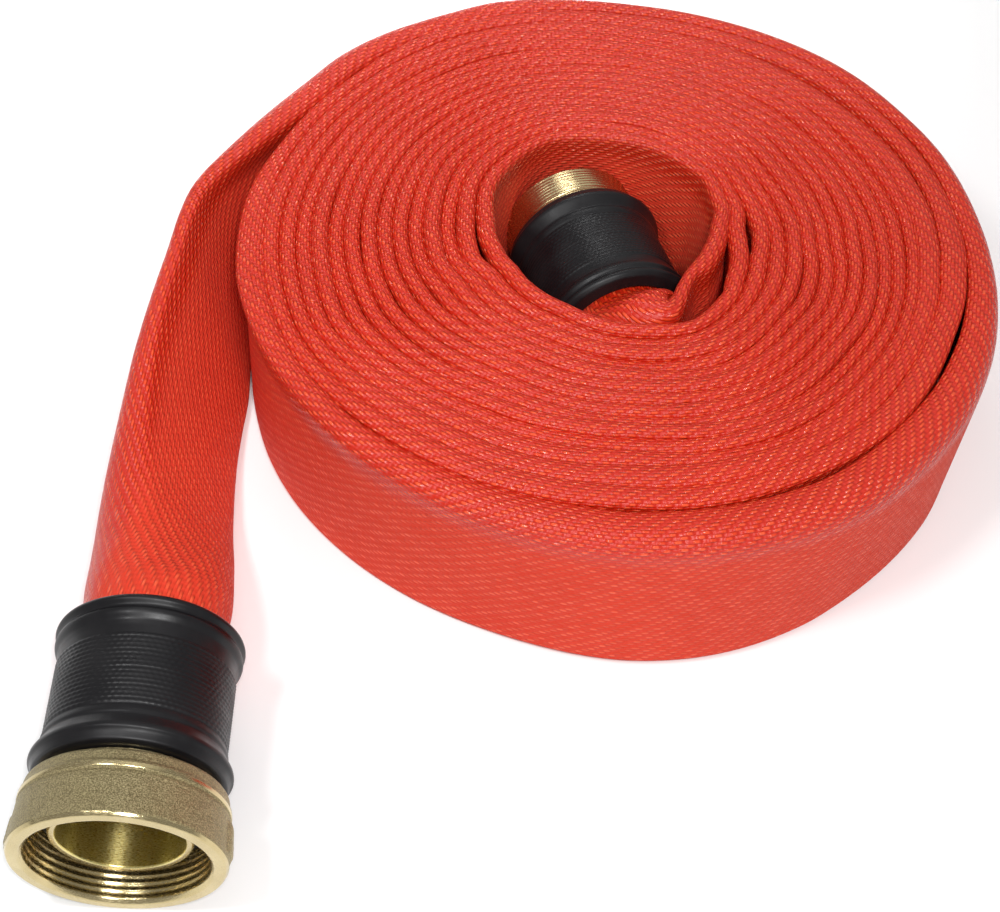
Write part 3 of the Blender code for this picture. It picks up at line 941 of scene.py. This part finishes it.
def thread(z, angle, first, last, depth, pitch):
    """Depth of a helical V thread between two distances, fading at its ends."""
    turn = (z / pitch - angle / (2 * math.pi)) % 1.0
    vee = np.clip(1.25 * (1 - np.abs(2 * turn - 1)), 0, 1)
    ends = smooth((z - first) / 1.2) * smooth((last - z) / 1.2)
    return depth * vee * ends


def uneven(z, angle, size, seed):
    """The soft unevenness of a casting, from -1 to 1."""
    total = 0.0
    for k in range(1, 5):
        wide = round(seed + 5 * k)
        total = total + np.sin(wide * angle + 1.7 * k * z / size + seed * k) * np.sin(
            (wide + 3) * angle - 2.3 * k * z / size + 2.1 * k
        )
    return total / 4


def nut_relief(r, z, angle, outer):
    """A thread in the bore, and an uneven skin with two opposite lugs outside."""
    cut = thread(z, angle, 1.6, 14.4, 0.42, THREAD_PITCH["female"])
    push = np.where(outer < -0.8, -cut, 0.0)
    cast = (outer > 0.8) & (z < 15.6)
    push = push + np.where(cast, 0.12 * uneven(z, angle, 4.0, 7), 0.0)
    off = np.minimum(np.abs(np.sin(angle / 2)), np.abs(np.cos(angle / 2))) * 2 * NUT_RADIUS
    lug = smooth((6.4 - off) / 3.6) * smooth((z - 2.2) / 3.0) * smooth((16.0 - z) / 3.4)
    return push + np.where(outer > 0.6, 1.1 * lug, 0.0)


def nut_skin(r, z):
    """0 on the nut's cast outside, 1 where it is machined or rubbed bright."""
    on_ridge = 17.0 < z < 18.6
    return 0 if r > 31.5 and z > 1.4 and not on_ridge else 1


def female_nut():
    """The swivel nut: front face at 0, groove for the gasket, ridge and rear collar."""
    outline = [
        (26.2, 24.0), (32.0, 24.0), (32.9, 23.0), (33.4, 19.8), (34.1, 19.0), (34.2, 17.2),
        (33.6, 16.4), (34.0, 15.4), (34.8, 4.0), (NUT_RADIUS, 1.6), (34.2, 0.1), (30.6, 0.0),
        (29.3, 1.3), (29.3, 14.8), (29.6, 15.2), (29.6, 17.0), (26.2, 17.0),
    ]
    outline = divided(rounded(outline, 0.5), 0.32)
    materials = [BRASS_CAST, BRASS_BRIGHT]
    nut = turned(
        "female_nut_turned", outline, FEMALE_ORIGIN, FEMALE_AXIS, materials, 320,
        nut_relief, nut_skin,
    )
    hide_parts("female_swivel_nut")
    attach(nut, "swivel_nut")
    return nut


def tail_skin(r, z):
    """1 in a tailpiece's bore, whose brass is painted lighter as painted light, 0 on the rest of it."""
    return 1 if r < 21.0 else 0


def tailpiece(name, outline, node, origin, axis, relief=None):
    """A turned brass tube; its bore and shank are plain, so they are coarse."""
    outline = divided(rounded(outline, 0.35), 0.42, plain_inside=23.0)
    materials = [BRASS_BRIGHT, BRASS_BORE_PAINTED_LIGHTER]
    piece = turned(name, outline, origin, axis, materials, 288, relief, tail_skin)
    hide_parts(node)
    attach(piece, "hose")
    return piece


def female_tail():
    front = COVER_FRONT["female"]
    outline = [
        (20.5, front + 50), (21.6, front + 50), (22.8, front + 30), (22.0, front - 0.3),
        (28.0, front - 0.3), (28.0, 24.3), (25.8, 24.3), (25.8, 17.2), (23.2, 17.2),
        (23.2, 9.0), (22.6, 8.2), (20.9, 8.2), (20.5, 8.7),
    ]
    return tailpiece(
        "female_tailpiece_turned", outline, "female_tailpiece", FEMALE_ORIGIN, FEMALE_AXIS
    )


def male_relief(r, z, angle, outer):
    """A thread round the outside."""
    cut = thread(z, angle, 1.2, 14.6, 0.38, THREAD_PITCH["male"])
    return np.where((outer > 0.8) & (r > 27), -cut, 0.0)


def male_tail():
    front = COVER_FRONT["male"]
    outline = [
        (20.5, front + 50), (21.6, front + 50), (22.8, front + 30), (22.0, front - 0.3),
        (29.5, front - 0.3), (29.5, front - 2.2), (26.9, front - 2.4), (26.9, 15.2),
        (28.3, 14.4), (28.3, 1.4), (26.9, 0.0), (24.2, 0.0), (23.7, 0.5), (23.7, 10.0),
        (20.9, 10.0), (20.5, 10.5),
    ]
    return tailpiece(
        "male_tailpiece_turned", outline, "male_tailpiece", MALE_ORIGIN, MALE_AXIS, male_relief
    )


def cover_relief(front):
    """Rows of short dashes round a cover that starts at the distance front."""
    def relief(r, z, angle, outer):
        first, last, count = RIBS
        share = (z - front - first) / (last - first) * count
        rib = np.floor(share)
        hump = np.clip(np.sin(math.pi * (share - rib)), 0, 1) ** 0.7
        dash = 0.5 + 0.5 * np.cos(84 * angle + math.pi * rib + 0.6 * np.sin(5 * angle + rib))
        inside = (share > 0) & (share < count) & (outer > 0.7)
        return np.where(inside, 0.46 * hump * (0.74 + 0.26 * dash), 0.0)

    return relief


def cover(side, origin, axis):
    """A moulded rubber cover, its beads and ribs from its front face backwards."""
    front = COVER_FRONT[side]
    outside = [
        (25.2, 55.2), (30.4, 54.9), (32.0, 53.6), (32.3, 52.3), (31.0, 50.7), (31.0, 49.9),
        (31.9, 48.6), (31.6, 47.2), (30.5, 45.4), (30.1, 43.4), (29.9, 40.6), (29.9, 14.2),
        (30.4, 13.2), (30.8, 11.6), (30.5, 10.4), (31.5, 8.6), (33.1, 6.0), (33.3, 4.6),
        (32.4, 3.6), (32.0, 2.4), (31.6, 0.7), (29.8, 0.0),
    ]
    inside = [(25.6, 0.0), (25.6, 3.4), (27.6, 4.4), (27.6, 45.0), (25.2, 48.6)]
    outline = rounded([(r, front + z) for r, z in outside + inside], 0.55, 3)
    outline = divided(outline, 0.44, plain_inside=28.0)
    piece = turned(
        f"{side}_cover_moulded", outline, origin, axis, [RUBBER], 504, cover_relief(front)
    )
    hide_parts(f"{side}_binding_cover")
    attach(piece, "hose")
    return piece


def gasket():
    """A ring with bevelled front edges, as wide and as thick as its CAD node."""
    low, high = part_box("female_gasket")
    start = low.y / MM - FEMALE_ORIGIN[1]
    end = high.y / MM - FEMALE_ORIGIN[1]
    outer = (high.x - low.x) / 2 / MM
    # (how far inside the outer radius, distance from the front of a 4 mm ring)
    outline = rounded([(5.7, 4.0), (0.0, 4.0), (0.0, 0.6), (0.6, 0.0), (5.1, 0.0), (5.7, 0.6)], 0.5)
    outline[:, 0] = outer - outline[:, 0] * 0.98
    outline[:, 1] = start + outline[:, 1] / 4.0 * (end - start)
    piece = turned("female_gasket_moulded", outline, FEMALE_ORIGIN, FEMALE_AXIS, [GASKET], 144)
    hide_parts("female_gasket")
    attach(piece, "hose")
    return piece


def finish_hidden_nodes():
    """Gives the CAD nodes that stay in the model a worked material too."""
    kinds = {"jacket": HOSE_END_RED, "lining": RUBBER, "binding": STEEL, "wire": STEEL}
    for name, node in frame["nodes"].items():
        for word, material in kinds.items():
            if word in name and not node.hide_render:
                for socket in node.material_slots:
                    socket.material = material


make_camera()
make_studio()
WEAVE = weave_material()
HOSE_END_RED = hose_end_material()
RUBBER = rubber_material("black_cover_rubber", 0.30, 0.50)
GASKET = rubber_material("black_gasket_rubber", 0.45, 0.6)
BRASS_CAST = cast_brass_material()
BRASS_BRIGHT = machined_brass_material(
    "brass_machined", (0.44, 0.35, 0.17), (0.70, 0.59, 0.34), 0.14, 0.32
)
# the bore's brass is painted lighter than the machined outside, a painted light for the flash shining into the
# bore
BRASS_BORE_PAINTED_LIGHTER = machined_brass_material(
    "brass_bore_painted_lighter", (0.66, 0.54, 0.18), (0.86, 0.76, 0.36), 0.20, 0.36
)
STEEL = steel_material()

tail, tail_path, tail_length = make_hose(WEAVE)
fittings = [female_nut(), female_tail(), gasket(), cover("female", FEMALE_ORIGIN, FEMALE_AXIS)]
male_tail()
cover("male", MALE_ORIGIN, MALE_AXIS)
finish_hidden_nodes()
